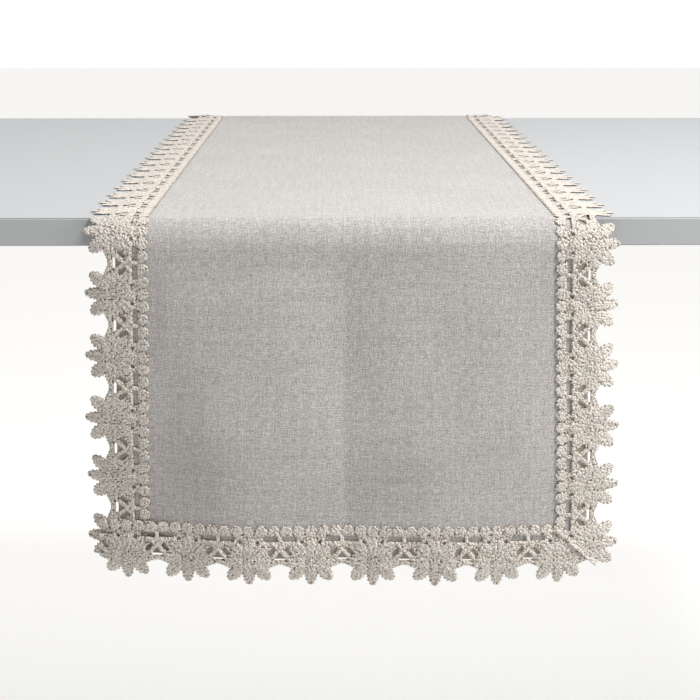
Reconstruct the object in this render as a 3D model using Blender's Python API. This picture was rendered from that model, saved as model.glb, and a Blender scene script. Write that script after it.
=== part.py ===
"""Table runner: a linen panel with a wide lace border, laid over a table and hanging at both ends.

Metres, +Z up. X runs across the runner and Y along it. The origin is the centre of the linen's
underside, which rests on the table top. Each end hangs from a fold over the table's edge. Cloth is
drawn as thin plates, one above the other: linen, turned hem, lace, and the stitches on the lace.
"""

import math

import bmesh
import bpy
from mathutils import Vector

# Driving sizes
RUNNER_WIDTH = 0.400  # leaf tip to leaf tip
TABLE_DEPTH = 0.900  # the table's top, front edge to back edge
DROP = 0.292  # table top down to the leaf tips of a hanging end
TABLE_CLEARANCE = 0.0005  # hanging linen to the table's edge
BEND_RADIUS = 0.004  # inside of the bend at the table's edge

LINEN_THICKNESS = 0.0006
HEM_THICKNESS = 0.0006
HEM_WIDTH = 0.012
LACE_THICKNESS = 0.0016
THREAD_THICKNESS = 0.0004
THREAD_WIDTH = 0.001

LACE_WIDTH = 0.048  # the straight inner edge to the leaf tips
LEAF_REACH = 0.016  # the outer cord to the leaf tips
LEAF_WIDTH = 0.0072
LEAF_SPREAD = math.radians(48)  # a side leaf's turn from the middle one
LEAF_SHOULDER = 0.62  # where a leaf is widest, as a share of its reach
LEAF_NOTCH = 0.45  # how far out two leaves part, as the same share
LEAF_ROOT_WIDTH = 0.0116  # a cluster where it meets the outer cord
LACE_PITCH = 0.047  # one repeat of the lace
LACE_OVERHANG = 0.0215  # the linen's edge to the leaf tips
INNER_ROW = 0.008  # stitch rows, from the lace's inner edge
OUTER_ROW = 0.0225
CORNER_TO_LEAVES = 0.026  # the outer cord's corner to the first leaves of a side strip

LAYER_GAP = 0.0003  # between pieces that lie on each other
FOLD_GAP = 0.0004  # between a fold and the flat pieces it joins
SEAM_GAP = 0.0004  # between two lace strips at a mitre
ROW_GAP = 0.0016  # between a stitch row's end and the mitre's stitches
MITRE_MARGIN = 0.002  # the mitre's stitches stop this far inside both corners

# Sizes that follow
HEM_BASE = LINEN_THICKNESS + LAYER_GAP
LACE_BASE = HEM_BASE + HEM_THICKNESS + LAYER_GAP
THREAD_BASE = LACE_BASE + LACE_THICKNESS + LAYER_GAP

BAND_WIDTH = LACE_WIDTH - LEAF_REACH  # the strip without its leaves
LACE_INNER_X = RUNNER_WIDTH / 2 - LACE_WIDTH
BAND_X = LACE_INNER_X + BAND_WIDTH
LINEN_X = RUNNER_WIDTH / 2 - LACE_OVERHANG

DROP_FACE_Y = TABLE_DEPTH / 2 + TABLE_CLEARANCE  # inner face of the hanging linen
BEND_CENTRE_Y = DROP_FACE_Y - BEND_RADIUS
FLAT_END_Y = BEND_CENTRE_Y  # where the linen leaves the table top
HANG_LENGTH = DROP - BEND_RADIUS  # below the bend
LACE_INNER_D = HANG_LENGTH - LACE_WIDTH  # depths below the bend
BAND_D = HANG_LENGTH - LEAF_REACH
LINEN_D = HANG_LENGTH - LACE_OVERHANG
# The fold straightens as an end is lifted. With the hinge here its length stays that of the bend.
HINGE_SHIFT = (BEND_RADIUS + LINEN_THICKNESS / 2) * math.pi / 4
HINGE_Y = BEND_CENTRE_Y + HINGE_SHIFT
HINGE_Z = -BEND_RADIUS + HINGE_SHIFT

FOLD_STEPS = 6


def new_material(name, color, roughness):
    made = bpy.data.materials.new(name)
    made.use_nodes = True
    shader = made.node_tree.nodes["Principled BSDF"]
    shader.inputs["Base Color"].default_value = (*color, 1)
    shader.inputs["Roughness"].default_value = roughness
    shader.inputs["Metallic"].default_value = 0
    return made


def add_piece(name, outline, through, material, parent=None):
    """A plate: the outline's points, carried along the vector through. Points are in the parent's axes."""
    plate = bmesh.new()
    face = plate.faces.new([plate.verts.new(point) for point in outline])
    made = bmesh.ops.extrude_face_region(plate, geom=[face])["geom"]
    moved = [item for item in made if isinstance(item, bmesh.types.BMVert)]
    bmesh.ops.translate(plate, vec=through, verts=moved)
    bmesh.ops.recalc_face_normals(plate, faces=plate.faces)
    mesh = bpy.data.meshes.new(name)
    plate.to_mesh(mesh)
    plate.free()
    mesh.materials.append(material)
    piece = bpy.data.objects.new(name, mesh)
    piece.parent = parent
    bpy.context.scene.collection.objects.link(piece)
    return piece


def on_top(x, y, height):
    """A point of the flat part, this high above the linen's underside."""
    return Vector((x, y, height))


def on_end(x, depth, height):
    """A point of a hanging end in its hinge's axes, where the end hangs on the -Y side."""
    return Vector((x, HINGE_Y - DROP_FACE_Y - height, -BEND_RADIUS - depth - HINGE_Z))


def rectangle(place, x_range, along_range, height):
    (x0, x1), (a0, a1) = x_range, along_range
    return [place(x, a, height) for x, a in ((x0, a0), (x1, a0), (x1, a1), (x0, a1))]


def leaf_cluster(centre):
    """Three leaves as (along, out from the outer cord) points, from low to high along."""
    half_root = LEAF_ROOT_WIDTH / 2
    points = [(-half_root, 0)]
    for turn in (-LEAF_SPREAD, 0, LEAF_SPREAD):
        for reach, side in ((LEAF_SHOULDER, -0.5), (1, 0), (LEAF_SHOULDER, 0.5)):
            out, across = reach * LEAF_REACH, side * LEAF_WIDTH
            points.append(
                (
                    out * math.sin(turn) + across * math.cos(turn),
                    out * math.cos(turn) - across * math.sin(turn),
                )
            )
        if turn < LEAF_SPREAD:
            notch = LEAF_NOTCH * LEAF_REACH
            middle = turn + LEAF_SPREAD / 2
            points.append((notch * math.sin(middle), notch * math.cos(middle)))
    points.append((half_root, 0))
    return [(centre + along, out) for along, out in points]


def cluster_half_width():
    return LEAF_REACH * math.sin(LEAF_SPREAD) + LEAF_WIDTH / 2


def centred_clusters(length):
    """Centres of as many leaf clusters as fit on this length, measured from its middle."""
    count = int((length - 2 * cluster_half_width()) / LACE_PITCH) + 1
    return [(i - (count - 1) / 2) * LACE_PITCH for i in range(count)]


def lace_on_top(name, side, material):
    """A side strip on the table top. side is -1 or 1 for the runner's left or right."""
    edge = [point for c in centred_clusters(2 * FLAT_END_Y) for point in leaf_cluster(c)]
    outline = [(LACE_INNER_X, FLAT_END_Y), (LACE_INNER_X, -FLAT_END_Y), (BAND_X, -FLAT_END_Y)]
    outline += [(BAND_X + out, along) for along, out in edge]
    outline.append((BAND_X, FLAT_END_Y))
    add_piece(
        name,
        [on_top(side * x, y, LACE_BASE) for x, y in outline],
        Vector((0, 0, LACE_THICKNESS)),
        material,
    )


def side_lace_on_end(name, side, material, hinge):
    """A side strip on a hanging end, cut at 45 degrees where it meets the strip along the end."""
    edge, depth = [], BAND_D - CORNER_TO_LEAVES
    while depth > cluster_half_width():
        edge += reversed(leaf_cluster(depth))
        depth -= LACE_PITCH
    outline = [(LACE_INNER_X, 0), (LACE_INNER_X, LACE_INNER_D - SEAM_GAP), (BAND_X, BAND_D - SEAM_GAP)]
    outline += [(BAND_X + out, along) for along, out in edge]
    outline.append((BAND_X, 0))
    add_piece(
        name,
        [on_end(side * x, d, LACE_BASE) for x, d in outline],
        Vector((0, -LACE_THICKNESS, 0)),
        material,
        hinge,
    )


def end_lace(name, material, hinge):
    edge = [point for c in centred_clusters(2 * BAND_X) for point in leaf_cluster(c)]
    outline = [(LACE_INNER_X, LACE_INNER_D), (-LACE_INNER_X, LACE_INNER_D), (-BAND_X, BAND_D)]
    outline += [(along, BAND_D + out) for along, out in edge]
    outline.append((BAND_X, BAND_D))
    add_piece(
        name,
        [on_end(x, d, LACE_BASE) for x, d in outline],
        Vector((0, -LACE_THICKNESS, 0)),
        material,
        hinge,
    )


def add_fold(name, end, x_range, base, thickness, material):
    """A layer's quarter bend over the table's edge. end is -1 for the front edge and 1 for the back."""
    inside, outside = BEND_RADIUS + base, BEND_RADIUS + base + thickness
    gap = FOLD_GAP / inside
    turns = [gap + i / FOLD_STEPS * (math.pi / 2 - 2 * gap) for i in range(FOLD_STEPS + 1)]
    section = [(inside, turn) for turn in turns] + [(outside, turn) for turn in reversed(turns)]
    outline = [
        Vector(
            (
                x_range[0],
                end * (BEND_CENTRE_Y + radius * math.sin(turn)),
                -BEND_RADIUS + radius * math.cos(turn),
            )
        )
        for radius, turn in section
    ]
    add_piece(name, outline, Vector((x_range[1] - x_range[0], 0, 0)), material)


def thread_row_on_top(name, side, from_inner_edge, material):
    x = side * (LACE_INNER_X + from_inner_edge)
    x_range = (x - THREAD_WIDTH / 2, x + THREAD_WIDTH / 2)
    outline = rectangle(on_top, x_range, (-FLAT_END_Y, FLAT_END_Y), THREAD_BASE)
    add_piece(name, outline, Vector((0, 0, THREAD_THICKNESS)), material)


def thread_rows_on_end(prefix, row, from_inner_edge, sides, material, hinge):
    """The same row on the two side strips and on the strip along the end."""
    half = THREAD_WIDTH / 2
    x_row = LACE_INNER_X + from_inner_edge
    d_row = LACE_INNER_D + from_inner_edge
    through = Vector((0, -THREAD_THICKNESS, 0))
    for side_name, side in sides:
        x = side * x_row
        outline = rectangle(on_end, (x - half, x + half), (0, d_row - ROW_GAP), THREAD_BASE)
        add_piece(f"stitching_{row}_{side_name}_{prefix}", outline, through, material, hinge)
    reach = x_row - ROW_GAP
    outline = rectangle(on_end, (-reach, reach), (d_row - half, d_row + half), THREAD_BASE)
    add_piece(f"stitching_{row}_{prefix}_end", outline, through, material, hinge)


def mitre_stitches(name, side, material, hinge):
    """The seam stitched along the 45 degree joint of two lace strips."""
    half = THREAD_WIDTH / 2
    a = (LACE_INNER_X + MITRE_MARGIN, LACE_INNER_D + MITRE_MARGIN)
    b = (BAND_X - MITRE_MARGIN, BAND_D - MITRE_MARGIN)
    outline = [
        (a[0] + half, a[1] - half),
        (b[0] + half, b[1] - half),
        (b[0] - half, b[1] + half),
        (a[0] - half, a[1] + half),
    ]
    add_piece(
        name,
        [on_end(side * x, d, THREAD_BASE) for x, d in outline],
        Vector((0, -THREAD_THICKNESS, 0)),
        material,
        hinge,
    )


def make_table_top_pieces(linen, lace, thread):
    up = Vector((0, 0, 1))
    outline = rectangle(on_top, (-LINEN_X, LINEN_X), (-FLAT_END_Y, FLAT_END_Y), 0)
    add_piece("linen_top", outline, up * LINEN_THICKNESS, linen)
    for side_name, side in (("left", -1), ("right", 1)):
        hem_x = sorted((side * LINEN_X, side * (LINEN_X - HEM_WIDTH)))
        outline = rectangle(on_top, hem_x, (-FLAT_END_Y, FLAT_END_Y), HEM_BASE)
        add_piece(f"hem_{side_name}_top", outline, up * HEM_THICKNESS, linen)
        lace_on_top(f"lace_{side_name}_top", side, lace)
        thread_row_on_top(f"stitching_inner_{side_name}_top", side, INNER_ROW, thread)
        thread_row_on_top(f"stitching_outer_{side_name}_top", side, OUTER_ROW, thread)


def make_folds(end_name, end, linen, lace):
    add_fold(f"linen_{end_name}_fold", end, (-LINEN_X, LINEN_X), 0, LINEN_THICKNESS, linen)
    for side_name, side in (("left", -1), ("right", 1)):
        hem_x = sorted((side * LINEN_X, side * (LINEN_X - HEM_WIDTH)))
        lace_x = sorted((side * LACE_INNER_X, side * BAND_X))
        name = f"{side_name}_{end_name}_fold"
        add_fold(f"hem_{name}", end, hem_x, HEM_BASE, HEM_THICKNESS, linen)
        add_fold(f"lace_{name}", end, lace_x, LACE_BASE, LACE_THICKNESS, lace)


def make_hanging_end(end_name, end, linen, lace, thread):
    """One hanging end. Its pieces hang from an empty on the fold's axis, turned round at the back."""
    hinge = bpy.data.objects.new(f"{end_name}_hinge_axis", None)
    hinge.location = (0, end * HINGE_Y, HINGE_Z)
    hinge.rotation_euler = (0, 0, math.pi if end > 0 else 0)
    bpy.context.scene.collection.objects.link(hinge)

    outward = Vector((0, -1, 0))
    outline = rectangle(on_end, (-LINEN_X, LINEN_X), (0, LINEN_D), 0)
    add_piece(f"linen_{end_name}", outline, outward * LINEN_THICKNESS, linen, hinge)

    # Turning the end round swaps its sides, so left and right stay those of the whole runner.
    sides = (("left", end), ("right", -end))
    hem_d = LINEN_D - HEM_WIDTH
    for side_name, side in sides:
        hem_x = sorted((side * LINEN_X, side * (LINEN_X - HEM_WIDTH)))
        outline = rectangle(on_end, hem_x, (0, hem_d - LAYER_GAP), HEM_BASE)
        add_piece(f"hem_{side_name}_{end_name}", outline, outward * HEM_THICKNESS, linen, hinge)
        side_lace_on_end(f"lace_{side_name}_{end_name}", side, lace, hinge)
        mitre_stitches(f"stitching_mitre_{side_name}_{end_name}", side, thread, hinge)
    outline = rectangle(on_end, (-LINEN_X, LINEN_X), (hem_d, LINEN_D), HEM_BASE)
    add_piece(f"hem_{end_name}_end", outline, outward * HEM_THICKNESS, linen, hinge)
    end_lace(f"lace_{end_name}_end", lace, hinge)
    thread_rows_on_end(end_name, "inner", INNER_ROW, sides, thread, hinge)
    thread_rows_on_end(end_name, "outer", OUTER_ROW, sides, thread, hinge)


for startup_object in list(bpy.data.objects):
    bpy.data.objects.remove(startup_object)
linen_cloth = new_material("linen_cloth", (0.60, 0.57, 0.53), 0.9)
lace_cotton = new_material("lace_cotton", (0.62, 0.54, 0.44), 0.92)
sewing_thread = new_material("sewing_thread", (0.66, 0.59, 0.50), 0.85)
make_table_top_pieces(linen_cloth, lace_cotton, sewing_thread)
for edge_name, edge_side in (("front", -1), ("back", 1)):
    make_folds(edge_name, edge_side, linen_cloth, lace_cotton)
    make_hanging_end(edge_name, edge_side, linen_cloth, lace_cotton, sewing_thread)
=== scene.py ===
"""Looks of the lace-bordered linen table runner, built around the CAD frame. Units are metres."""

import math

import bmesh
import bpy
import numpy as np
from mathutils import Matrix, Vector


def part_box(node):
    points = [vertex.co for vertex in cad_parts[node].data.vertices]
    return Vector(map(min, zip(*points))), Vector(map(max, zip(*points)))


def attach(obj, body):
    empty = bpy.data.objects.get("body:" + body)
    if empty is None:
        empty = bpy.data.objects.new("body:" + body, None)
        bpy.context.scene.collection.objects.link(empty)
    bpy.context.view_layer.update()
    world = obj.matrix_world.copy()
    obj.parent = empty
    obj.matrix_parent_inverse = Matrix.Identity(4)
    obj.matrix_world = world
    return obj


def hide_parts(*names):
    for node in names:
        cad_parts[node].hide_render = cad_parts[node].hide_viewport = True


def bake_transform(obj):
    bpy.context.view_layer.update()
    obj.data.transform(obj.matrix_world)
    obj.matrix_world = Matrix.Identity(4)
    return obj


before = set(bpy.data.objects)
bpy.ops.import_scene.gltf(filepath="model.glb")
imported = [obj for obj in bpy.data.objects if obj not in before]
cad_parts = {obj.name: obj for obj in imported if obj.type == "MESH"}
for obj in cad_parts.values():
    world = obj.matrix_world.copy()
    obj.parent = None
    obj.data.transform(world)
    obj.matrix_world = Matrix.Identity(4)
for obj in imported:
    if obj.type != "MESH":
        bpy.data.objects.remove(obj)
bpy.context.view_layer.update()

# ---------------------------------------------------------------------------------------------
# Camera. It stands in front of the table a little above its top, slightly left of the runner's
# middle, and looks down on the hanging end. The small shift keeps the hanging sides near parallel.
# ---------------------------------------------------------------------------------------------
CAMERA_BEFORE_EDGE = 1.3025
CAMERA_ABOVE_TOP = 0.1834
CAMERA_LEFT = 0.0125
CAMERA_PITCH = math.radians(10.75)  # below level
CAMERA_TURN = math.radians(0.49)  # to the right
CAMERA_LENS = 89.9
CAMERA_SHIFT = -0.07

table_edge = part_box("linen_top")[1].y + 0.001  # the linen starts to turn 1 mm before the edge
camera = bpy.data.objects.new("camera", bpy.data.cameras.new("camera"))
camera.data.lens = CAMERA_LENS
camera.data.shift_y = CAMERA_SHIFT
camera.data.clip_end = 50
camera.location = (-CAMERA_LEFT, -table_edge - CAMERA_BEFORE_EDGE, CAMERA_ABOVE_TOP)
camera.rotation_euler = (math.pi / 2 - CAMERA_PITCH, 0, -CAMERA_TURN)
bpy.context.scene.collection.objects.link(camera)
bpy.context.scene.camera = camera
bpy.context.scene.view_settings.view_transform = "Standard"

# ---------------------------------------------------------------------------------------------
# Studio stage. A plain pale slab holds the runner up where the table top is, over a pale floor
# that glows with painted light, dimmer before the table and brighter behind it. Light is white: a
# strong lamp high up at the front right, and a weak low one beside it.
# ---------------------------------------------------------------------------------------------
SLAB_THICKNESS = 0.0215
SLAB_HALF_LENGTH = 0.75
SLAB_EDGE_ROUND = 0.0012
SLAB_COLOR = (0.54, 0.552, 0.56, 1)
FLOOR_DROP = 0.74
HALF_FLOOR = 15.0
FLOOR_COLOR = (0.80, 0.80, 0.79, 1)
# painted light: the floor's own glow, dimmer before the table and brighter behind it
FLOOR_PAINTED_GLOWS = (0.10, 0.10, 0.098), (0.43, 0.42, 0.405)  # before the table, and behind it
GLOW_FROM, GLOW_TO = -1.2, 0.8


class Wire:
    """A shader socket that takes part in sums. make() adds any other node behind or before it."""

    def __init__(self, tree, socket=None):
        self.tree, self.socket = tree, socket

    def make(self, kind, settings=None, inputs=None, output=0):
        node = self.tree.nodes.new(kind)
        for name, value in (settings or {}).items():
            setattr(node, name, value)
        for name, value in (inputs or {}).items():
            if isinstance(value, Wire):
                self.tree.links.new(value.socket, node.inputs[name])
            else:
                node.inputs[name].default_value = value
        return Wire(self.tree, node.outputs[output])

    def math(self, operation, first, second=0.0):
        return self.make("ShaderNodeMath", {"operation": operation}, {0: first, 1: second})

    def __add__(self, other):
        return self.math("ADD", self, other)

    def __sub__(self, other):
        return self.math("SUBTRACT", self, other)

    def __rsub__(self, other):
        return self.math("SUBTRACT", other, self)

    def __mul__(self, other):
        return self.math("MULTIPLY", self, other)

    __radd__, __rmul__ = __add__, __mul__

    def limited(self, low, high):
        """The value taken from low..high to 0..1 and kept there."""
        return self.make("ShaderNodeMapRange", None, {0: self, 1: low, 2: high})

    def stretched(self, across, along):
        """A position scaled by these amounts, for a pattern that runs along the threads."""
        return self.make(
            "ShaderNodeVectorMath", {"operation": "MULTIPLY"}, {0: self, 1: (across, along, 1)}
        )

    def noise(self, scale, detail=2.0, roughness=0.5):
        settings = {"noise_dimensions": "3D"}
        sockets = {"Vector": self, "Scale": scale, "Detail": detail, "Roughness": roughness}
        return self.make("ShaderNodeTexNoise", settings, sockets)

    def tinted(self, low, high):
        """A colour between two, by this value."""
        colors = {0: self, 6: (*low, 1), 7: (*high, 1)}
        return self.make("ShaderNodeMix", {"data_type": "RGBA"}, colors, output=2)


def new_finish(name, roughness, sheen=0.0):
    """A material with its Principled shader, and a wire that starts its nodes."""
    material = bpy.data.materials.new(name)
    material.use_nodes = True
    shader = material.node_tree.nodes["Principled BSDF"]
    shader.inputs["Roughness"].default_value = roughness
    shader.inputs["Sheen Weight"].default_value = sheen
    shader.inputs["Specular IOR Level"].default_value = 0.25
    return material, shader, Wire(material.node_tree)


def join(material, wire, socket):
    material.node_tree.links.new(wire.socket, socket)


def bumped(wire, height, distance, strength=1.0):
    """Height in 0..1 as a Bump of this distance in metres."""
    sockets = {"Height": height, "Distance": distance, "Strength": strength}
    return wire.make("ShaderNodeBump", None, sockets)


def add_object(name, mesh, material):
    made = bpy.data.objects.new(name, mesh)
    mesh.materials.clear()
    mesh.materials.append(material)
    bpy.context.scene.collection.objects.link(made)
    return made


def box_mesh(name, low, high, rounding):
    """A closed box with rounded edges."""
    block = bmesh.new()
    bmesh.ops.create_cube(block, size=1)
    for vert in block.verts:
        for axis in range(3):
            vert.co[axis] = high[axis] if vert.co[axis] > 0 else low[axis]
    bmesh.ops.bevel(block, geom=block.edges[:], offset=rounding, segments=3, affect="EDGES")
    mesh = bpy.data.meshes.new(name)
    block.to_mesh(mesh)
    block.free()
    mesh.shade_smooth()
    mesh.set_sharp_from_angle(angle=math.radians(35))
    return mesh


slab_paint, slab_shader, _ = new_finish("stage_white_paint", 0.55)
slab_shader.inputs["Base Color"].default_value = SLAB_COLOR
slab = add_object(
    "stage_table_top",
    box_mesh(
        "stage_table_top",
        (-SLAB_HALF_LENGTH, -table_edge, -SLAB_THICKNESS),
        (SLAB_HALF_LENGTH, table_edge, -0.0002),
        SLAB_EDGE_ROUND,
    ),
    slab_paint,
)

floor_paint, floor_shader, floor_wire = new_finish("stage_pale_floor_painted_glow", 0.9)
floor_shader.inputs["Base Color"].default_value = FLOOR_COLOR
floor_place = floor_wire.make("ShaderNodeTexCoord", output=3)
floor_place = floor_wire.make("ShaderNodeSeparateXYZ", None, {0: floor_place}, output=1)
# painted light: the floor glows, dimmer before the table and brighter behind it
floor_painted_glow = floor_place.limited(GLOW_FROM, GLOW_TO).tinted(*FLOOR_PAINTED_GLOWS)
join(floor_paint, floor_painted_glow, floor_shader.inputs["Emission Color"])
floor_shader.inputs["Emission Strength"].default_value = 1.0
floor_mesh = bpy.data.meshes.new("stage_floor")
corners = [(x * HALF_FLOOR, y * HALF_FLOOR) for x, y in ((-1, -1), (1, -1), (1, 1), (-1, 1))]
floor_mesh.from_pydata([(*corner, -FLOOR_DROP) for corner in corners], [], [(0, 1, 2, 3)])
floor = add_object("stage_floor", floor_mesh, floor_paint)

WORLD_BEHIND, WORLD_BEFORE = 1.12, 0.14  # the studio is white behind the table and dimmer before it
world = bpy.data.worlds.new("studio")
world.use_nodes = True
wire = Wire(world.node_tree)
toward = wire.make("ShaderNodeTexCoord")
toward = wire.make("ShaderNodeSeparateXYZ", None, {0: toward}, output=1)
glow = wire.make(
    "ShaderNodeMapRange",
    {"interpolation_type": "SMOOTHSTEP"},
    {0: toward, 1: -0.6, 2: 0.75, 3: WORLD_BEFORE, 4: WORLD_BEHIND},
)
world.node_tree.nodes["Background"].inputs["Color"].default_value = (1, 1, 1, 1)
join(world, glow, world.node_tree.nodes["Background"].inputs["Strength"])
bpy.context.scene.world = world


def add_lamp(name, place, aim, size, power):
    lamp = bpy.data.lights.new(name, "AREA")
    lamp.shape, lamp.size, lamp.energy = "SQUARE", size, power
    holder = bpy.data.objects.new(name, lamp)
    holder.location = place
    direction = holder.location - type(holder.location)(aim)
    holder.rotation_euler = direction.to_track_quat("Z", "Y").to_euler()
    bpy.context.scene.collection.objects.link(holder)


add_lamp("lamp_key", (1.15, -1.05, 1.75), aim=(0.05, -0.3, -0.05), size=0.6, power=44)
add_lamp("lamp_side", (0.95, -0.92, 0.16), aim=(0.15, -0.45, -0.06), size=0.25, power=1.6)

# ---------------------------------------------------------------------------------------------
# The linen. One plain-woven panel of flax yarn lies along the table and hangs over both edges by
# its own weight. Here it is two halves that meet on the table's middle line, one for each fold.
# ---------------------------------------------------------------------------------------------
LINEN_THICKNESS = 0.0005
LINEN_STEP = 0.005
TIGHT_ROWS, SLOW_ROWS = 8, 10
DROP_FLARE = 0.026  # the hanging cloth spreads by this share towards its hem
TIGHT_TURN = math.radians(15)  # how far the cloth turns right at the edge; the rest is slow
SLOW_RADIUS = 0.0235
BACK_HUMP = 0.0022  # the cloth stands a little proud of the far edge before it turns
# the hanging cloth bellies out on both sides of its middle crease: (middle, bend) of each belly
BELLIES = ((-0.061, 2.1), (0.070, 2.0))
BELLY_GROWS = 0.085  # the depth over which they grow
CREASE_PLACE = -0.005
FOLD_HOLLOW, RIGHT_HOLLOW = 0.0026, 0.0016
LEFT_HELD_BACK, CORNER_HELD_BACK, HEM_DRAWN_IN = 0.0032, 0.0045, 0.0030
RIPPLE = 0.0005
CREASE_ROUND = 0.0003
CREASE_COLUMNS = np.linspace(-0.003, 0.003, 5)
LINEN_PALE = (0.83, 0.795, 0.76)
LINEN_DEEP = (0.30, 0.283, 0.265)

LINEN_INSET = 0.0019  # the cut edge stops short of the lace's outer cord, which shows a slit of light
low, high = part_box("linen_top")
half_linen, flat_end = high.x - LINEN_INSET, high.y
low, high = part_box("linen_front")
hang_face = -high.y
hang_end = -low.z - LINEN_INSET
bend_radius = hang_face - flat_end
linen_length = flat_end + bend_radius * (math.pi / 2 - 1) + hang_end  # middle line to cut end
tight_length = bend_radius * TIGHT_TURN
slow_length = SLOW_RADIUS * (math.pi / 2 - TIGHT_TURN)


def smooth(value, low_end, high_end):
    share = np.clip((value - low_end) / (high_end - low_end), 0, 1)
    return share * share * (3 - 2 * share)


def bump(value, middle, width):
    return np.exp(-(((value - middle) / width) ** 2))


def sway_of(across, depth, end):
    """How far the hanging cloth stands out from a flat sheet, at a place across and down it."""
    (left, left_bend), (right, right_bend) = BELLIES
    left_belly = -0.5 * left_bend * (across - left) ** 2
    right_belly = -0.5 * right_bend * (across - right) ** 2
    right_belly += 0.5 * (
        right_bend * (CREASE_PLACE - right) ** 2 - left_bend * (CREASE_PLACE - left) ** 2
    )
    gap = left_belly - right_belly
    belly = (left_belly + right_belly + np.sqrt(gap * gap + CREASE_ROUND**2)) / 2
    out = belly * (1 - np.exp(-depth / BELLY_GROWS))
    # a soft hollow under the fold, a small one halfway down on the right, the cloth held back low
    # on the left, and the hem drawn in by the lace's weight
    out -= FOLD_HOLLOW * bump(across, -0.045, 0.07) * bump(depth, 0.048, 0.02)
    out -= RIGHT_HOLLOW * bump(across, 0.07, 0.03) * bump(depth, 0.125, 0.035)
    out += LEFT_HELD_BACK * smooth(across, -0.146, -0.094) * smooth(depth, 0.09, 0.19)
    out -= CORNER_HELD_BACK * (1 - smooth(across, -0.15, -0.07)) * smooth(depth, 0.15, 0.225)
    out -= HEM_DRAWN_IN * smooth(depth, 0.175, 0.245)
    # faint ripples that differ between the two ends
    ripple = np.sin(across * 61 + depth * 47 + end) * np.sin(across * 23 - depth * 71 + 2 * end)
    return out + RIPPLE * ripple * smooth(depth, 0.01, 0.05)


def drape(flat):
    """Points of the flat cloth (across, along, height above the table side) on the hanging shape."""
    across, along, height = flat.T
    end = np.where(along < 0, -1.0, 1.0)
    past = np.abs(along) - flat_end
    tight = np.clip(past, 0, tight_length) / bend_radius
    turn = tight + np.clip(past - tight_length, 0, slow_length) / SLOW_RADIUS
    out = np.minimum(past, 0) + bend_radius * np.sin(tight)
    out += SLOW_RADIUS * (np.sin(turn) - np.sin(tight))
    straight = np.clip(past - tight_length - slow_length, 0, None)
    down = bend_radius * (1 - np.cos(tight)) + SLOW_RADIUS * (np.cos(tight) - np.cos(turn))
    depth = np.clip(past, 0, None)
    hump = BACK_HUMP * np.exp(-((past / 0.012) ** 2)) * (end > 0)
    return np.stack(
        [
            across * (1 + DROP_FLARE * smooth(depth, 0, linen_length - flat_end)),
            end * (flat_end + out + height * np.sin(turn) + sway_of(across, depth, end)),
            (height + hump) * np.cos(turn) - down - straight,
        ],
        axis=1,
    )


def mesh_of(name, points, faces, flat=None):
    """A smooth-shaded mesh. flat gives each point's place on the uncut cloth, kept as its UV map."""
    mesh = bpy.data.meshes.new(name)
    mesh.from_pydata(np.asarray(points).tolist(), [], faces)
    if flat is not None:
        keep_flat_place(mesh, flat)
    mesh.shade_smooth()
    return mesh


def keep_flat_place(mesh, flat):
    corners = np.empty(len(mesh.loops), np.int32)
    mesh.loops.foreach_get("vertex_index", corners)
    layer = mesh.uv_layers.new(name="cloth")
    layer.uv.foreach_set("vector", np.asarray(flat)[corners, :2].astype(np.float32).ravel())


def rows_along(end_length):
    """Distances from the middle line to the cut end, closer together over the bend."""
    top = np.linspace(0, flat_end, int(flat_end / LINEN_STEP) + 1)
    tight = flat_end + np.linspace(0, tight_length, TIGHT_ROWS + 1)[1:]
    slow = tight[-1] + np.linspace(0, slow_length, SLOW_ROWS + 1)[1:]
    hang = np.linspace(slow[-1], end_length, int((end_length - slow[-1]) / LINEN_STEP) + 1)[1:]
    return np.concatenate([top, tight, slow, hang])


def plate_of_cloth(name, across, rows, low_height, high_height):
    """A closed thin plate on the draped shape: its two faces, and walls round the four sides."""
    wide, long = len(across), len(rows)
    grid = [(a, r) for r in rows for a in across]
    flat = np.array([(a, r, high_height) for a, r in grid] + [(a, r, low_height) for a, r in grid])
    under = wide * long
    faces = []
    for j in range(long - 1):
        for i in range(wide - 1):
            a = j * wide + i
            faces.append((a, a + 1, a + wide + 1, a + wide))
            faces.append((a + under, a + wide + under, a + wide + 1 + under, a + 1 + under))
    around = list(range(wide))
    around += [j * wide + wide - 1 for j in range(1, long)]
    around += [(long - 1) * wide + i for i in range(wide - 2, -1, -1)]
    around += [j * wide for j in range(long - 2, 0, -1)]
    for a, b in zip(around, around[1:] + around[:1]):
        faces.append((a, a + under, b + under, b))
    if rows[-1] < rows[0]:
        faces = [face[::-1] for face in faces]
    mesh = mesh_of(name, drape(flat), faces, flat)
    mesh.set_sharp_from_angle(angle=math.radians(50))
    return mesh


def weave_finish(name, pale, deep):
    """Plain-woven flax: uneven warp and weft yarns, with a few thick slubs both ways."""
    material, shader, wire = new_finish(name, 0.92, sheen=0.12)
    place = wire.make("ShaderNodeUVMap", {"uv_map": "cloth"})
    warp = place.stretched(1150, 150).noise(1.0, 2.0, 0.6)
    weft = place.stretched(150, 1150).noise(1.0, 2.0, 0.6)
    crossings = place.noise(950.0, 1.0)
    yarns = (warp + weft) * 0.3 + crossings * 0.4
    slubs = place.stretched(420, 14).noise(1.0, 2.0) + place.stretched(14, 420).noise(1.0, 2.0)
    cloudy = place.noise(11.0, 3.0)
    tone = yarns.limited(0.40, 0.60) * 0.66 + (slubs * 0.5).limited(0.36, 0.64) * 0.18
    tone = tone + cloudy * 0.16
    join(material, tone.tinted(deep, pale), shader.inputs["Base Color"])
    join(material, bumped(wire, yarns, 0.0008, 0.7), shader.inputs["Normal"])
    return material


linen_finish = weave_finish("flax_plain_weave", LINEN_PALE, LINEN_DEEP)


def blend_over_fold(piece):
    """Bakes the piece's transform into its mesh."""
    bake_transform(piece)


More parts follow.
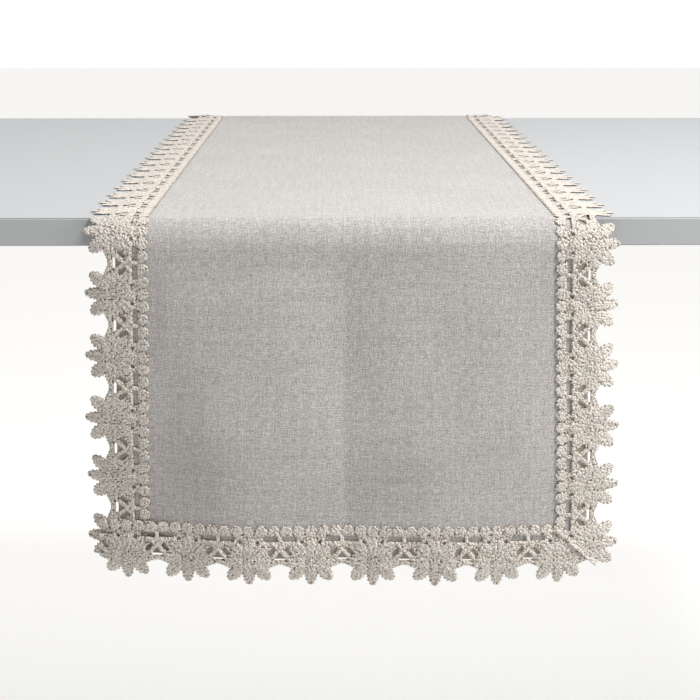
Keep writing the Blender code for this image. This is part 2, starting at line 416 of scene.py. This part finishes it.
across = np.linspace(-half_linen, half_linen, int(2 * half_linen / LINEN_STEP) + 1)
across = np.union1d(across[np.abs(across - CREASE_PLACE) > 0.003], CREASE_PLACE + CREASE_COLUMNS)
linen = {}
for end_name, end in (("front", -1), ("back", 1)):
    name = f"linen_{end_name}_half"
    rows = end * rows_along(linen_length)
    linen[end_name] = add_object(
        name, plate_of_cloth(name, across, rows, 0.0, LINEN_THICKNESS), linen_finish
    )
    blend_over_fold(linen[end_name])
    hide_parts("linen_top", f"linen_{end_name}_fold", f"linen_{end_name}")

# ---------------------------------------------------------------------------------------------
# Hems. The panel's cut edges are turned over to the face side, pressed flat and hidden under the
# lace. They show only through the lace's openings, as a second layer of the same linen, coloured
# darker and browner by painted shade from the lace above.
# ---------------------------------------------------------------------------------------------
HEM_THICKNESS = 0.0005
HEM_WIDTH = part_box("hem_left_top")[1].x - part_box("hem_left_top")[0].x
HEM_HEIGHT = LINEN_THICKNESS + 0.0001
# painted shade: the hem is the same linen, coloured darker and browner for the shade that the lace
# casts in its openings
hem_painted_shade_finish = weave_finish("flax_hem_painted_shade", (0.62, 0.54, 0.46), (0.30, 0.245, 0.19))

with_linen = {"front": [], "back": []}
for end_name, end in (("front", -1), ("back", 1)):
    rows = end * rows_along(linen_length - HEM_WIDTH)
    for side_name, side in (("left", -1), ("right", 1)):
        name = f"hem_{side_name}_{end_name}_half"
        edges = sorted((side * half_linen, side * (half_linen - HEM_WIDTH)))
        hem = add_object(
            name,
            plate_of_cloth(
                name, np.linspace(*edges, 4), rows, HEM_HEIGHT, HEM_HEIGHT + HEM_THICKNESS
            ),
            hem_painted_shade_finish,
        )
        blend_over_fold(hem)
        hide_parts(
            f"hem_{side_name}_top",
            f"hem_{side_name}_{end_name}_fold",
            f"hem_{side_name}_{end_name}",
        )
        with_linen[end_name].append(hem)
    name = f"hem_across_{end_name}"
    rows = end * np.linspace(linen_length - HEM_WIDTH, linen_length, 4)
    hem = add_object(
        name,
        plate_of_cloth(name, across, rows, HEM_HEIGHT, HEM_HEIGHT + HEM_THICKNESS),
        hem_painted_shade_finish,
    )
    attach(hem, f"{end_name}_drop")
    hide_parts(f"hem_{end_name}_end")
    with_linen[end_name].append(hem)

# ---------------------------------------------------------------------------------------------
# Lace. A wide band of thick knotted cotton lace: a braid of round shells, a row of slots, flowers
# joined by crossing bars, and three saw-edged leaves under each flower. One repeat is drawn as
# padded shapes on a fine grid, and Geometry Nodes lay the repeats end to end in each strip.
# ---------------------------------------------------------------------------------------------
LACE_PITCH = 0.047
MM = 0.001
REPEAT = LACE_PITCH / MM  # the drawing below is in millimetres
GRID_CELLS = 70
LACE_ACROSS = 49.0
SHELLS = 5
SHELL_MIDDLE, SHELL_RADIUS = 4.3, 4.5
SCALLOP_LOW, SCALLOP_RISE = 29.3, 3.1  # the band's outer edge at the bars, and its rise to a flower
UNDERSIDE = 0.35
TOOTH = REPEAT / 21  # one bead of the outer cord, or rib of a leaf
LEAF_TOOTH = 3.1
LEAF_THICK = 1.7
KNOT_SPACING = 1.35  # the thread's knots
KNOT_RELIEF = 0.26
# on the table, the painted shade between knots is evened out by the first share and a flat painted
# shade is laid over it; the last is the share of bump taken off
TABLE_EVENS_PAINTED_SHADE, TABLE_PAINTED_SHADE, PRESSED_SMOOTH = 0.35, 0.17, 0.6
# the lace's lit colour, and the colour that its painted shade and grain reach in the deepest hollows
LACE_PALE = (0.99, 0.915, 0.83)
LACE_PAINTED_SHADE_DEEP = (0.15, 0.098, 0.055)


def dome(depth, rim):
    """A padded edge: 0 at the outline, rising round to 1 where it is rim deep."""
    share = np.clip(depth / rim, 0, 1)
    return np.sqrt(1 - (1 - share) ** 2)


def bar(u, v, root, tip, half_width):
    """How deep each place lies inside a straight bar with round ends."""
    (a, b), (c, d) = root, tip
    length = (c - a) ** 2 + (d - b) ** 2
    share = np.clip(((u - a) * (c - a) + (v - b) * (d - b)) / length, 0, 1)
    return half_width - np.hypot(u - a - share * (c - a), v - b - share * (d - b))


def leaf(u, v, root, tip, half_width, widest=0.6, teeth=0.0, blunt=0.75):
    """A leaf's depth inside its outline, and its relief with a sunk vein and slanted ribs."""
    (a, b), (c, d) = root, tip
    length = math.hypot(c - a, d - b)
    along = ((u - a) * (c - a) + (v - b) * (d - b)) / length
    side = np.abs((v - b) * (c - a) - (u - a) * (d - b)) / length
    share = np.clip(along / length, 0, 1)
    swell = np.sin(math.pi * share ** (math.log(0.5) / math.log(widest))) ** blunt
    width = half_width * swell + teeth * np.sin(2 * math.pi * along / LEAF_TOOTH)
    beyond = np.maximum(np.maximum(-along, along - length), 0)
    inside = np.where(beyond > 0, -beyond - 0.2, width - side)
    ribs = 0.84 + 0.16 * np.cos(2 * math.pi * (along - 0.9 * side) / TOOTH)
    vein = 1 - 0.35 * np.exp(-((side / 0.55) ** 2))
    return inside, ribs * vein


def lace_relief(u, v):
    """(depth inside the lace's outline, height of its face), for places in one repeat."""
    wing = np.abs((u + REPEAT / 2) % REPEAT - REPEAT / 2)  # 0 at the flower
    gap = REPEAT / 2  # and half a repeat at the bars that cross between two flowers
    from_gap = gap - wing
    found = []

    def add(inside, thick, rim, relief=1.0):
        found.append((inside, thick * dome(inside, rim) * relief))

    # the braid: round shells of coiled cord on its inner side
    spacing = REPEAT / SHELLS
    shell_u = (u + spacing / 2) % spacing - spacing / 2
    from_shell = np.hypot(shell_u, v - SHELL_MIDDLE)
    add(SHELL_RADIUS - from_shell, 1.5, 1.7, 0.84 + 0.16 * np.cos(from_shell * 2 * math.pi / 1.7))
    add(np.minimum(v - 3.0, 8.4 - v), 0.75, 0.8)

    # the ground, out to the scalloped band, and the thicker band itself
    scallop = SCALLOP_LOW + SCALLOP_RISE * smooth(from_gap, 0.5, 10.0)
    scallop = scallop + 0.4 * np.cos(2 * math.pi * u / TOOTH)
    add(np.minimum(v - 7.0, scallop - v), 0.75, 0.8)
    add(2.1 - np.abs(v - scallop + 2.1), 1.25, 1.4, 0.85 + 0.15 * np.cos(2 * math.pi * u / TOOTH))
    add(np.where(wing > 8, 0.9 - np.abs(v - 12.9), -9), 1.2, 0.9)
    add(1.7 - np.hypot(from_gap, (v - 10.4) * 0.5), 1.2, 1.0)

    # petals: three towards the braid and one along each side
    for root, tip, half_width, thick in (
        ((0, 25), (0, 8.4), 4.0, 1.75),
        ((1.4, 24.4), (13.4, 11.6), 4.1, 1.65),
        ((2.2, 25.8), (17.6, 27.6), 3.5, 1.6),
        ((1.8, 25.0), (16.4, 20.2), 3.3, 1.4),
    ):
        inside, relief = leaf(wing, v, root, tip, half_width)
        add(inside, thick, 2.0, relief)

    # crossing bars between the flowers
    add(bar(wing, v, (gap - 6.4, 11.6), (gap + 8.4, 26.0), 1.3), 1.5, 1.1)
    add(bar(wing, v, (gap + 6.4, 11.6), (gap - 8.4, 26.0), 1.3), 1.5, 1.1)

    # a web under the three leaves
    add(10.6 - np.hypot(wing, v - 28.6), 0.8, 0.8)

    # three broad leaves with saw-toothed edges, then a cross of knots at the flower's heart
    for root, tip, half_width in (((0, 26.5), (0, 47.2), 4.3), ((2.6, 26.6), (15.6, 42.4), 5.1)):
        inside, relief = leaf(wing, v, root, tip, half_width, widest=0.64, teeth=0.6, blunt=0.62)
        add(inside, LEAF_THICK, 2.2, relief)
    for knot_u, knot_v in ((0, 26.2), (2.5, 26.2), (0, 23.7), (0, 28.7)):
        add(1.15 - np.hypot(wing - knot_u, v - knot_v), 2.2, 1.15)

    inside = np.maximum.reduce([item[0] for item in found])
    height = np.maximum.reduce([item[1] for item in found])
    # openings: slots under the braid, eyelets, and three between the lower arms of the cross
    slot = np.minimum(np.minimum(from_gap - 1.6, 12.4 - from_gap), 1.7 - np.abs(v - 9.8))
    arms = np.minimum((v - 19.4) * 0.75 - from_gap * 0.98, 25.4 - v)
    for opening in (
        slot,
        arms,
        1.0 - np.hypot((wing - 6.6) / 1.3, (v - 12.2) / 1.0),
        bar(from_gap, v, (5.0, 17.6), (7.6, 20.6), 1.4),
    ):
        inside = np.minimum(inside, -opening)
        height = np.minimum(height, 1.5 * dome(-opening, 1.4))
    return inside, height


def knot_field(u, v):
    """How deep the hollow between the thread's knots is, 0 on a knot to 1, the same at both ends."""
    across = int(REPEAT / KNOT_SPACING)
    down = int(LACE_ACROSS / KNOT_SPACING) + 3
    spacing = REPEAT / across
    scatter = np.random.default_rng(11).uniform(-0.36, 0.36, (down, across, 2))
    column = np.floor((u + REPEAT / 2) / spacing).astype(int)
    row = np.floor(v / spacing).astype(int) + 1
    nearest = np.full(u.shape, 9.0)
    for dj in (-1, 0, 1):
        for di in (-1, 0, 1):
            j, i = np.clip(row + dj, 0, down - 1), column + di
            shift = scatter[j, i % across]
            knot_u = (i + 0.5 + shift[..., 0]) * spacing - REPEAT / 2
            knot_v = (j - 0.5 + shift[..., 1]) * spacing
            nearest = np.minimum(nearest, np.hypot(u - knot_u, v - knot_v))
    return np.clip(nearest / (0.78 * spacing), 0, 1) ** 1.3


def lace_repeat_mesh():
    """One repeat as a closed padded shell, open only at its two ends, where the next repeats join."""
    cell = REPEAT / GRID_CELLS
    rows = int(LACE_ACROSS / cell) + 2
    u_lines = (np.arange(GRID_CELLS + 1) - GRID_CELLS / 2) * cell
    v_lines = (np.arange(rows + 1) - 1) * cell
    u, v = np.meshgrid(u_lines, v_lines)
    inside, height = lace_relief(u, v)
    knots = knot_field(u, v)
    height = height * (1 - KNOT_RELIEF * knots * (inside > 0.5 * cell))

    points, painted_shade_looks, faces, numbers = [], [], [], {}

    def grid_point(j, i, face):
        key = (j, i, face)
        if key not in numbers:
            numbers[key] = len(points)
            z = height[j, i] if face else -UNDERSIDE * dome(inside[j, i], 1.0)
            points.append((u_lines[i], v_lines[j], z))
            # painted shade: a point's height and knot share set how shaded its colour is; the
            # underside takes a low fixed height, so it is painted dark
            painted_shade_looks.append((z / LEAF_THICK if face else 0.2, 1 - knots[j, i]))
        return numbers[key]

    def edge_point(j, i, k, m):
        key = tuple(sorted(((j, i), (k, m))))
        if key not in numbers:
            numbers[key] = len(points)
            (j, i), (k, m) = key
            share = inside[j, i] / (inside[j, i] - inside[k, m])
            share = min(max(share, 0.06), 0.94)
            points.append(
                (
                    u_lines[i] + share * (u_lines[m] - u_lines[i]),
                    v_lines[j] + share * (v_lines[k] - v_lines[j]),
                    0.12,
                )
            )
            # painted shade: the cut walls take fixed middling values, so they are painted half shaded
            painted_shade_looks.append((0.35, 0.5))
        return numbers[key]

    for j in range(rows):
        for i in range(GRID_CELLS):
            corners = ((j, i), (j, i + 1), (j + 1, i + 1), (j + 1, i))
            solid = [inside[corner] > 0 for corner in corners]
            if not any(solid):
                continue
            for face in (True, False):
                outline = []
                for k in range(4):
                    here, after = corners[k], corners[(k + 1) % 4]
                    if solid[k]:
                        outline.append(grid_point(*here, face))
                    if solid[k] != solid[(k + 1) % 4]:
                        outline.append(edge_point(*here, *after))
                faces.append(outline if face else outline[::-1])
    mesh = mesh_of("lace_repeat", np.array(points) * MM, faces)
    for name, values in zip(("relief", "knot_for_painted_shade"), zip(*painted_shade_looks)):
        layer = mesh.attributes.new(name, "FLOAT", "POINT")
        layer.data.foreach_set("value", np.array(values, np.float32))
    return mesh


def repeat_nodes():
    """Geometry Nodes that lay copies of a mesh along X and weld them into one strip."""
    tree = bpy.data.node_groups.new("lace_repeats", "GeometryNodeTree")
    for name, kind in (
        ("Geometry", "Geometry"),
        ("Count", "Int"),
        ("Pitch", "Float"),
        ("First", "Float"),
        ("Weld", "Float"),
        ("Finish", "Material"),
    ):
        tree.interface.new_socket(name, in_out="INPUT", socket_type=f"NodeSocket{kind}")
    tree.interface.new_socket("Geometry", in_out="OUTPUT", socket_type="NodeSocketGeometry")
    source, result = tree.nodes.new("NodeGroupInput"), tree.nodes.new("NodeGroupOutput")
    line = tree.nodes.new("GeometryNodeMeshLine")
    first = tree.nodes.new("ShaderNodeCombineXYZ")
    step = tree.nodes.new("ShaderNodeCombineXYZ")
    copies = tree.nodes.new("GeometryNodeInstanceOnPoints")
    real = tree.nodes.new("GeometryNodeRealizeInstances")
    weld = tree.nodes.new("GeometryNodeMergeByDistance")
    finish = tree.nodes.new("GeometryNodeSetMaterial")
    for a, b in (
        (source.outputs["Count"], line.inputs["Count"]),
        (source.outputs["First"], first.inputs["X"]),
        (source.outputs["Pitch"], step.inputs["X"]),
        (first.outputs[0], line.inputs["Start Location"]),
        (step.outputs[0], line.inputs["Offset"]),
        (line.outputs["Mesh"], copies.inputs["Points"]),
        (source.outputs["Geometry"], copies.inputs["Instance"]),
        (copies.outputs["Instances"], real.inputs["Geometry"]),
        (real.outputs["Geometry"], weld.inputs["Geometry"]),
        (source.outputs["Weld"], weld.inputs["Distance"]),
        (weld.outputs["Geometry"], finish.inputs["Geometry"]),
        (source.outputs["Finish"], finish.inputs["Material"]),
        (finish.outputs["Geometry"], result.inputs["Geometry"]),
    ):
        tree.links.new(a, b)
    return tree


def run_nodes(tree, mesh, values):
    """The mesh that a Geometry Nodes tree makes from this one, as a plain mesh of its own."""
    carrier = bpy.data.objects.new("carrier", mesh)
    bpy.context.scene.collection.objects.link(carrier)
    modifier = carrier.modifiers.new("nodes", "NODES")
    modifier.node_group = tree
    for item in tree.interface.items_tree:
        if item.in_out == "INPUT" and item.name in values:
            modifier[item.identifier] = values[item.name]
    graph = bpy.context.evaluated_depsgraph_get()
    made = bpy.data.meshes.new_from_object(carrier.evaluated_get(graph))
    bpy.data.objects.remove(carrier)
    return made


lace_finish, lace_shader, wire = new_finish("knotted_cotton_lace", 0.95, sheen=0.1)
place = wire.make("ShaderNodeUVMap", {"uv_map": "cloth"})
height = wire.make("ShaderNodeAttribute", {"attribute_name": "relief"}, output=2)
knot_for_painted_shade = wire.make("ShaderNodeAttribute", {"attribute_name": "knot_for_painted_shade"}, output=2)
loops = wire.make("ShaderNodeTexVoronoi", {"feature": "F1"}, {"Vector": place, "Scale": 560.0})
strands = place.noise(720.0, 2.0, 0.6)
grain = (1 - loops.limited(0.1, 0.8)) * 0.6 + strands * 0.4
# painted shade: the colour darkens where the lace's face lies low, on its underside and cut walls, in
# the hollows between knots and between the small loops of its grain
tone = height.limited(0.05, 0.7) * 0.22 + knot_for_painted_shade * 0.34 + grain * 0.44
# painted shade: where the lace lies on the table its painted shade is weaker and more even, with a
# flat painted shade laid over it
pressed = wire.make("ShaderNodeAttribute", {"attribute_name": "pressed"}, output=2)
grain_and_painted_shade = (1 - tone.limited(0.31, 0.55)) * (1 - TABLE_EVENS_PAINTED_SHADE * pressed) + TABLE_PAINTED_SHADE * pressed
join(lace_finish, grain_and_painted_shade.tinted(LACE_PALE, LACE_PAINTED_SHADE_DEEP), lace_shader.inputs["Base Color"])
lace_bump = bumped(wire, grain * (1 - PRESSED_SMOOTH * pressed), 0.0024)
join(lace_finish, lace_bump, lace_shader.inputs["Normal"])

lace_tree = repeat_nodes()
lace_repeat = lace_repeat_mesh()
MOST_CLUSTERS = 60  # of leaves along one side
WELD_WITHIN = 0.00004
PATTERN_STEP = 3.7  # each side and each end takes another part of the thread's pattern
LEAVES_FROM, LEAVES_REACH = 0.030, 0.018  # across a strip, from its inner edge
TWIST_SHARE, BOW_SHARE = 1.6, 1.2


def share_on_table(along):
    """1 where the lace lies on the table, falling to 0 where it hangs."""
    return 1 - smooth(np.abs(along), flat_end - 0.01, flat_end + 0.03)


def drop_scraps(work):
    """Removes every loose bit that a cut left over, and keeps the largest."""
    left, islands = set(work.verts), []
    while left:
        island, front = set(), [next(iter(left))]
        while front:
            vert = front.pop()
            if vert in left:
                left.remove(vert)
                island.add(vert)
                front += [edge.other_vert(vert) for edge in vert.link_edges]
        islands.append(island)
    islands.sort(key=len)
    for island in islands[:-1]:
        bmesh.ops.delete(work, geom=list(island), context="VERTS")


def lace_strip(name, low_end, high_end, flower, to_cloth, flips, seed, trims=(), stretch=1.0):
    """A strip of lace from low_end to high_end along its length, with a flower at the place given.

    to_cloth turns (along, out, height) into a place on the flat cloth. seed picks how the leaves
    curl. trims are further cuts, each (point, outward normal) in the strip's own (along, out)
    plane, and stretch is how much the strip was pulled lengthwise as it was sewn on.
    """
    pitch = LACE_PITCH * stretch
    first = math.floor((low_end - flower) / pitch) * LACE_PITCH
    count = math.ceil((high_end - flower - first * stretch) / pitch) + 1
    strip = run_nodes(
        lace_tree,
        lace_repeat,
        {
            "Count": count,
            "Pitch": LACE_PITCH,
            "First": first,
            "Weld": WELD_WITHIN,
            "Finish": lace_finish,
        },
    )
    work = bmesh.new()
    work.from_mesh(strip)
    for vert in work.verts:
        vert.co.x = flower + vert.co.x * stretch
    cuts = [((low_end, 0), (-1, 0)), ((high_end, 0), (1, 0)), *trims]
    for (x, y), (nx, ny) in cuts:
        cut = bmesh.ops.bisect_plane(
            work,
            geom=work.verts[:] + work.edges[:] + work.faces[:],
            dist=1e-7,
            plane_co=(x, y, 0),
            plane_no=(nx, ny, 0),
            clear_outer=True,
        )
        edges = [item for item in cut["geom_cut"] if isinstance(item, bmesh.types.BMEdge)]
        bmesh.ops.holes_fill(work, edges=edges, sides=0)
    drop_scraps(work)
    work.to_mesh(strip)
    work.free()

    flat = np.empty(len(strip.vertices) * 3, np.float32)
    strip.vertices.foreach_get("co", flat)
    flat = flat.reshape(-1, 3).astype(float)
    keep_flat_place(strip, flat + (PATTERN_STEP * seed, 0, 0))

    # each cluster of leaves curls in its own way, the same in every strip of one side
    local = (flat[:, 0] - flower) / pitch
    number = np.round(local).astype(int)
    local = (local - number) * 2
    curl = np.random.default_rng(seed).uniform(-1, 1, (MOST_CLUSTERS, 3))
    even, twist, bow = curl[number + MOST_CLUSTERS // 4].T
    leafy = ((np.clip(flat[:, 1], LEAVES_FROM, None) - LEAVES_FROM) / LEAVES_REACH) ** 1.6
    lift = leafy * (even + TWIST_SHARE * twist * local + BOW_SHARE * bow * np.abs(local))
    cloth = to_cloth(flat, lift)
    points = drape(cloth)
    layer = strip.attributes.new("pressed", "FLOAT", "POINT")
    layer.data.foreach_set("value", share_on_table(cloth[:, 1]).astype(np.float32))
    strip.vertices.foreach_set("co", points.astype(np.float32).ravel())
    if flips:
        strip.flip_normals()
    strip.shade_smooth()
    strip.update()
    return add_object(name, strip, lace_finish)


inner_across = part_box("lace_right_top")[0].x  # the lace's inner edge, from the middle line
inner_along = linen_length - (half_linen - inner_across)  # and on a hanging end
BAND_WIDTH = 0.032
LACE_BASE = 0.0015  # the lace's underside, over the linen and its hem
BASE_SUNK = 0.0005
TABLE_CLEAR = 0.0004
LEAF_CURL = 0.0030
TABLE_CURL = 0.16  # the share of its curl that a leaf keeps on the table
SIDE_DROOP, END_DROOP = 0.7, 1.1
SIDE_WIDEN = 1.04  # the side strips hang a little wider than the ones across the ends
END_STRETCH = 0.99
END_RISE = 0.0022  # an end strip lies over the side strip that it crosses
BRAID_REACH = 0.0016  # and its braid reaches a little further in
SIDE_STRETCH = {"left": 1.035, "right": 1.0}
PRESSED_FLAT = 0.72  # the share of its thickness that the lace loses where it lies on the table
MITRE_LAP = 0.0024
MITRE_RISE = 0.0015


def base_of(out):
    """The height of the lace's underside, lower on the inner side, where no hem lifts it."""
    return LACE_BASE - BASE_SUNK * (1 - smooth(out, 0.008, 0.013))


def on_side(side, mitred_end=0):
    """Places a strip along the left (-1) or right (1) side of the cloth.

    Where it is mitred into the strip of the end -1 or 1, its cut edge laps over that strip.
    """

    def place_on(flat, lift):
        along, out = flat[:, 0], flat[:, 1]
        on_table = share_on_table(along)
        sink = smooth(out, 0.0245, 0.034) * (LACE_BASE - TABLE_CLEAR) * on_table
        leafy = smooth(out, LEAVES_FROM, LEAVES_FROM + LEAVES_REACH)
        hanging = (lift - SIDE_DROOP * leafy) * (1 - on_table)
        curl = LEAF_CURL * (hanging + TABLE_CURL * (lift + np.abs(lift)) * on_table)
        height = base_of(out) + flat[:, 2] * (1 - PRESSED_FLAT * on_table) - sink + curl
        if mitred_end:
            from_cut = (inner_along + out - mitred_end * along) / math.sqrt(2) + MITRE_LAP
            height = height + MITRE_RISE * bump(np.clip(from_cut, 0, None), 0, 0.0022)
        return np.stack([side * (inner_across + out * SIDE_WIDEN), along, height], axis=1)

    return place_on


def on_end(end):
    """Places a strip across the front (-1) or back (1) end. It climbs over one side's strip."""

    def place_on(flat, lift):
        along, out = flat[:, 0], flat[:, 1]
        leafy = smooth(out, LEAVES_FROM, LEAVES_FROM + LEAVES_REACH)
        climb = END_RISE * smooth(end * along, inner_across - 0.02, inner_across)
        height = base_of(out) + climb + flat[:, 2] + LEAF_CURL * (lift - END_DROOP * leafy)
        out = out - BRAID_REACH * (1 - smooth(out, 0, 0.02))
        return np.stack([along, end * (inner_along + out), height], axis=1)

    return place_on


band_along = inner_along + BAND_WIDTH  # the outer cord of the strip across an end
band_across = inner_across + BAND_WIDTH
SPLIT = 0.395  # where a side strip's flat length meets the length that folds
# how far a side strip runs past the end strip's inner edge
MITRED_REACH, PLAIN_REACH = 0.034, 0.0285
BOTTOM_FLOWER = 0.0157  # how far a flower of the end strips stands from the middle
# the first flower along each side, a little above the front end's outer cord
SIDE_FLOWER = {"left": 0.0185 - band_along, "right": 0.0164 - band_along}
SIDE_SEED, END_SEED = {"left": 5, "right": 6}, {"front": 7, "back": 8}

for end_name, end in (("front", -1), ("back", 1)):
    for side_name, side in (("left", -1), ("right", 1)):
        flower, seed = SIDE_FLOWER[side_name], SIDE_SEED[side_name]
        stretch = SIDE_STRETCH[side_name]
        mitred = (side_name == "right") == (end == -1)
        flips = side == 1
        name = f"lace_{side_name}_{end_name}_half"
        spans = sorted((0, end * SPLIT))
        piece = lace_strip(name, *spans, flower, on_side(side), flips, seed, stretch=stretch)
        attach(piece, "table_top")
        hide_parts(f"lace_{side_name}_top")
        with_linen[end_name].append(piece)
        name = f"lace_{side_name}_{end_name}_drop"
        spans = sorted((end * SPLIT, end * (inner_along + (MITRED_REACH if mitred else PLAIN_REACH))))
        lap = end * (inner_along + MITRE_LAP * math.sqrt(2))
        trims = [((lap, 0), (end, -1))] if mitred else []
        place_on = on_side(side, end if mitred else 0)
        piece = lace_strip(name, *spans, flower, place_on, flips, seed, trims, stretch)
        blend_over_fold(piece)
        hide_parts(f"lace_{side_name}_{end_name}", f"lace_{side_name}_{end_name}_fold")
        with_linen[end_name].append(piece)

    name = f"lace_across_{end_name}"
    reach = band_across
    turned = -end  # the mitred corner's side
    trims = [((turned * inner_across, 0), (turned, -1))]
    spans = sorted((turned * (reach + 0.014), -turned * (reach + 0.0078)))
    place_on, seed = on_end(end), END_SEED[end_name]
    flower = BOTTOM_FLOWER * turned
    piece = lace_strip(name, *spans, flower, place_on, end == -1, seed, trims, END_STRETCH)
    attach(piece, f"{end_name}_drop")
    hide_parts(f"lace_{end_name}_end")
    with_linen[end_name].append(piece)

# ---------------------------------------------------------------------------------------------
# Sewing. Two rows of lockstitch in cotton thread hold each strip of lace down, one under the
# shells and one through the flowers, and a short seam crosses each corner.
# ---------------------------------------------------------------------------------------------
THREAD_RADIUS = 0.00022
STITCH_LENGTH = 0.0027
STITCH_PITCH = 0.0034
STITCH_ROWS = (0.0080, 0.0224)  # from the lace's inner edge
MITRE_SEAM = (0.003, 0.029)  # where the corner seams start and stop, from the lace's inner edge
STITCH_SIDES, STITCH_RINGS = 6, 5


def stitch_mesh():
    """One stitch along X: a short length of thread whose ends dive into the cloth."""
    points, faces = [], []
    for ring in range(STITCH_RINGS):
        share = ring / (STITCH_RINGS - 1)
        arch = math.sin(math.pi * share)
        girth = THREAD_RADIUS * (0.45 + 0.55 * arch**0.5)
        for side in range(STITCH_SIDES):
            turn = 2 * math.pi * side / STITCH_SIDES
            points.append(
                (
                    (share - 0.5) * STITCH_LENGTH,
                    girth * math.cos(turn),
                    girth * math.sin(turn) + 1.4 * THREAD_RADIUS * (arch - 0.7),
                )
            )
    for ring in range(STITCH_RINGS - 1):
        for side in range(STITCH_SIDES):
            a = ring * STITCH_SIDES + side
            b = ring * STITCH_SIDES + (side + 1) % STITCH_SIDES
            faces.append((a, b, b + STITCH_SIDES, a + STITCH_SIDES))
    faces.append(tuple(range(STITCH_SIDES))[::-1])
    faces.append(tuple((STITCH_RINGS - 1) * STITCH_SIDES + side for side in range(STITCH_SIDES)))
    return mesh_of("stitch", points, faces)


thread_finish, thread_shader, wire = new_finish("cotton_sewing_thread", 0.8, sheen=0.1)
place = wire.make("ShaderNodeUVMap", {"uv_map": "cloth"})
plies = place.stretched(3600, 3600).noise(1.0, 2.0)
join(
    thread_finish,
    plies.limited(0.3, 0.7).tinted((0.60, 0.53, 0.44), (0.93, 0.88, 0.80)),
    thread_shader.inputs["Base Color"],
)
join(thread_finish, bumped(wire, plies, 0.0002, 0.6), thread_shader.inputs["Normal"])

one_stitch = stitch_mesh()
STITCH_POINTS = len(one_stitch.vertices)


def stitch_row(start, stop, flower, to_cloth, stretch):
    """(points, faces) of a row on the flat cloth, without the stitches that would cross an opening.

    start and stop are (along, out) on the strip.
    """
    start, stop = np.array(start), np.array(stop)
    length = np.linalg.norm(stop - start)
    toward = (stop - start) / length
    count = int(length / STITCH_PITCH)
    row = run_nodes(
        lace_tree,
        one_stitch,
        {
            "Count": count,
            "Pitch": length / count,
            "First": STITCH_PITCH / 2,
            "Weld": 0.0,
            "Finish": thread_finish,
        },
    )
    flat = np.empty(len(row.vertices) * 3, np.float32)
    row.vertices.foreach_get("co", flat)
    flat = flat.reshape(count, STITCH_POINTS, 3).astype(float)
    run, aside = flat[:, :, 0].copy(), flat[:, :, 1].copy()
    flat[:, :, 0] = start[0] + run * toward[0] - aside * toward[1]
    flat[:, :, 1] = start[1] + run * toward[1] + aside * toward[0]
    along, out = flat[:, :, 0].mean(axis=1), flat[:, :, 1].mean(axis=1)
    inside, height = lace_relief((along - flower) / stretch / MM, out / MM)
    kept = inside > 0.5
    flat[:, :, 2] += height[:, None] * MM
    flat = flat[kept].reshape(-1, 3)
    faces = [list(face.vertices) for face in row.polygons]
    faces = faces[: len(faces) // count * int(kept.sum())]
    bpy.data.meshes.remove(row)
    return to_cloth(flat, np.zeros(len(flat))), faces


def add_stitches(name, rows):
    """One piece from several rows. Each is (points on the flat cloth, faces, turned over or not)."""
    points, faces = [], []
    for cloth, row_faces, flips in rows:
        start = sum(len(item) for item in points)
        points.append(cloth)
        for face in row_faces:
            face = [start + number for number in face]
            faces.append(face[::-1] if flips else face)
    flat = np.concatenate(points)
    made = add_object(name, mesh_of(name, drape(flat), faces, flat), thread_finish)
    return made


for end_name, end in (("front", -1), ("back", 1)):
    on_top, on_drop = [], []
    across_end = (-BOTTOM_FLOWER * end, on_end(end), END_STRETCH)
    for side_name, side in (("left", -1), ("right", 1)):
        down_side = (SIDE_FLOWER[side_name], on_side(side), SIDE_STRETCH[side_name])
        for out in STITCH_ROWS:
            row = stitch_row((0, out), (end * SPLIT, out), *down_side)
            on_top.append((*row, side == 1))
            corner = (end * (inner_along + out), out)
            row = stitch_row((end * SPLIT, out), corner, *down_side)
            on_drop.append((*row, side == 1))
        near, far = MITRE_SEAM
        if (side_name == "right") == (end == -1):
            flower, _, stretch = down_side
            seam = (flower, on_side(side, end), stretch)
            row = stitch_row(
                (end * (inner_along + near), near + MITRE_LAP),
                (end * (inner_along + far), far + MITRE_LAP),
                *seam,
            )
            on_drop.append((*row, side == 1))
        else:
            corner = (side * (inner_across + near), near), (side * (inner_across + far), far)
            on_drop.append((*stitch_row(*corner, *across_end), end == -1))
    for out in STITCH_ROWS:
        reach = inner_across + out
        on_drop.append((*stitch_row((-reach, out), (reach, out), *across_end), end == -1))
    piece = add_stitches(f"stitches_{end_name}_top", on_top)
    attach(piece, "table_top")
    kept = [f"stitching_{row}_{side}" for row in ("inner", "outer") for side in ("left", "right")]
    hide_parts(*[f"{name}_top" for name in kept])
    with_linen[end_name].append(piece)
    piece = add_stitches(f"stitches_{end_name}_drop", on_drop)
    blend_over_fold(piece)
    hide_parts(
        *[f"{name}_{end_name}" for name in kept],
        f"stitching_inner_{end_name}_end",
        f"stitching_outer_{end_name}_end",
        f"stitching_mitre_left_{end_name}",
        f"stitching_mitre_right_{end_name}",
    )
    with_linen[end_name].append(piece)
